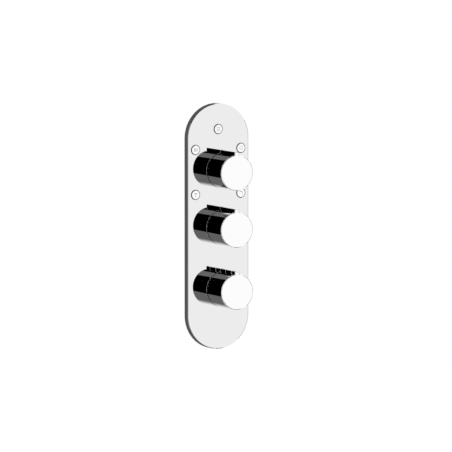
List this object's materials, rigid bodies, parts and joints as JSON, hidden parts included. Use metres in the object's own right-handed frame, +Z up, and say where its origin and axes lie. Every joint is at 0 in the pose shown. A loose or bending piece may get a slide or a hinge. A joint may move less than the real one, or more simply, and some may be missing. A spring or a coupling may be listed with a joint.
{
  "type": "thermostatic shower valve",
  "caption": "Concealed thermostatic shower valve: stadium-shaped chrome trim plate with ribbed cylindrical knobs and outlet discs, brass body and mounting rail behind.",
  "frame": {"origin": "on the finished wall's face at the plate's middle height, on the line of the knob axes, 7.5 mm right of the plate's centreline", "axes": "+X to the right seen from the room, +Y into the wall, +Z up"},
  "size_m": [0.1, 0.1123, 0.3584],
  "materials": {
    "polished_chrome": "mirror-polished chrome plate",
    "black_rubber": "soft closed-cell rubber",
    "raw_brass": "machined brass",
    "copper": "drawn copper capsule",
    "galvanised_steel": "galvanised steel strip",
    "spring_steel": "stainless steel wire and sheet",
    "ceramic": "lapped ceramic",
    "white_plastic": "moulded engineering plastic"
  },
  "bodies": {
    "valve_body": {"trim_plate": "polished_chrome", "plate_gasket": "black_rubber", "outlet_discs": "polished_chrome", "plate_ring_nuts": "raw_brass", "valve_casting": "raw_brass", "outlet_sockets": "raw_brass", "inlet_sockets": "raw_brass", "mounting_rail": "galvanised_steel", "rail_screws": "galvanised_steel", "gallery_plugs": "raw_brass", "diverter_cartridge": "raw_brass", "volume_cartridge": "raw_brass", "thermostat_cartridge": "raw_brass", "volume_fixed_disc": "ceramic", "volume_base_seal": "black_rubber", "return_spring": "spring_steel", "temperature_stop_ring": "white_plastic", "inlet_strainers": "spring_steel", "hot_check_cage": "white_plastic", "cold_check_cage": "white_plastic", "hot_check_spring": "spring_steel", "cold_check_spring": "spring_steel"},
    "diverter_handle": {"diverter_knob": "polished_chrome", "diverter_adapter": "white_plastic", "diverter_spindle": "raw_brass", "diverter_rotor": "raw_brass"},
    "volume_handle": {"volume_knob": "polished_chrome", "volume_adapter": "white_plastic", "volume_spindle": "raw_brass", "volume_rotating_disc": "ceramic"},
    "thermostat_handle": {"thermostat_knob": "polished_chrome", "thermostat_adapter": "white_plastic", "thermostat_spindle": "raw_brass", "button_spring": "spring_steel"},
    "safety_button": {"safety_button": "polished_chrome"},
    "temperature_shuttle": {"wax_element": "copper", "mixing_shuttle": "raw_brass"},
    "hot_check_poppet": {"hot_check_poppet": "white_plastic"},
    "cold_check_poppet": {"cold_check_poppet": "white_plastic"}
  },
  "joints": [
    {"name": "diverter_turn", "type": "hinge", "parent": "valve_body", "child": "diverter_handle", "pos_m": [0, 0, 0.081], "axis": [0, -1, 0], "range_deg": [-138, 127]},
    {"name": "volume_turn", "type": "hinge", "parent": "valve_body", "child": "volume_handle", "pos_m": [0, 0, -0.002], "axis": [0, -1, 0], "range_deg": [0, 90]},
    {"name": "thermostat_turn", "type": "hinge", "parent": "valve_body", "child": "thermostat_handle", "pos_m": [0, 0, -0.0925], "axis": [0, -1, 0], "range_deg": [-150, 0]},
    {"name": "safety_button_push", "type": "slide", "parent": "thermostat_handle", "child": "safety_button", "axis": [0, 0, -1], "range_m": [0, 0.0025], "stiffness_N_per_m": 400, "springref_m": -0.003, "deforming": ["button_spring"]},
    {"name": "temperature_shift", "type": "slide", "parent": "valve_body", "child": "temperature_shuttle", "axis": [0, 1, 0], "range_m": [0, 0.0007], "deforming": ["return_spring"]},
    {"name": "hot_check_lift", "type": "slide", "parent": "valve_body", "child": "hot_check_poppet", "axis": [0, 0, 1], "range_m": [0, 0.002], "stiffness_N_per_m": 100, "springref_m": -0.003, "deforming": ["hot_check_spring"]},
    {"name": "cold_check_lift", "type": "slide", "parent": "valve_body", "child": "cold_check_poppet", "axis": [0, 0, 1], "range_m": [0, 0.002], "stiffness_N_per_m": 100, "springref_m": -0.003, "deforming": ["cold_check_spring"]}
  ],
  "couplings": [
    {"joint": "temperature_shift", "follows": "thermostat_turn", "m_per_rad": -0.00024}
  ]
}
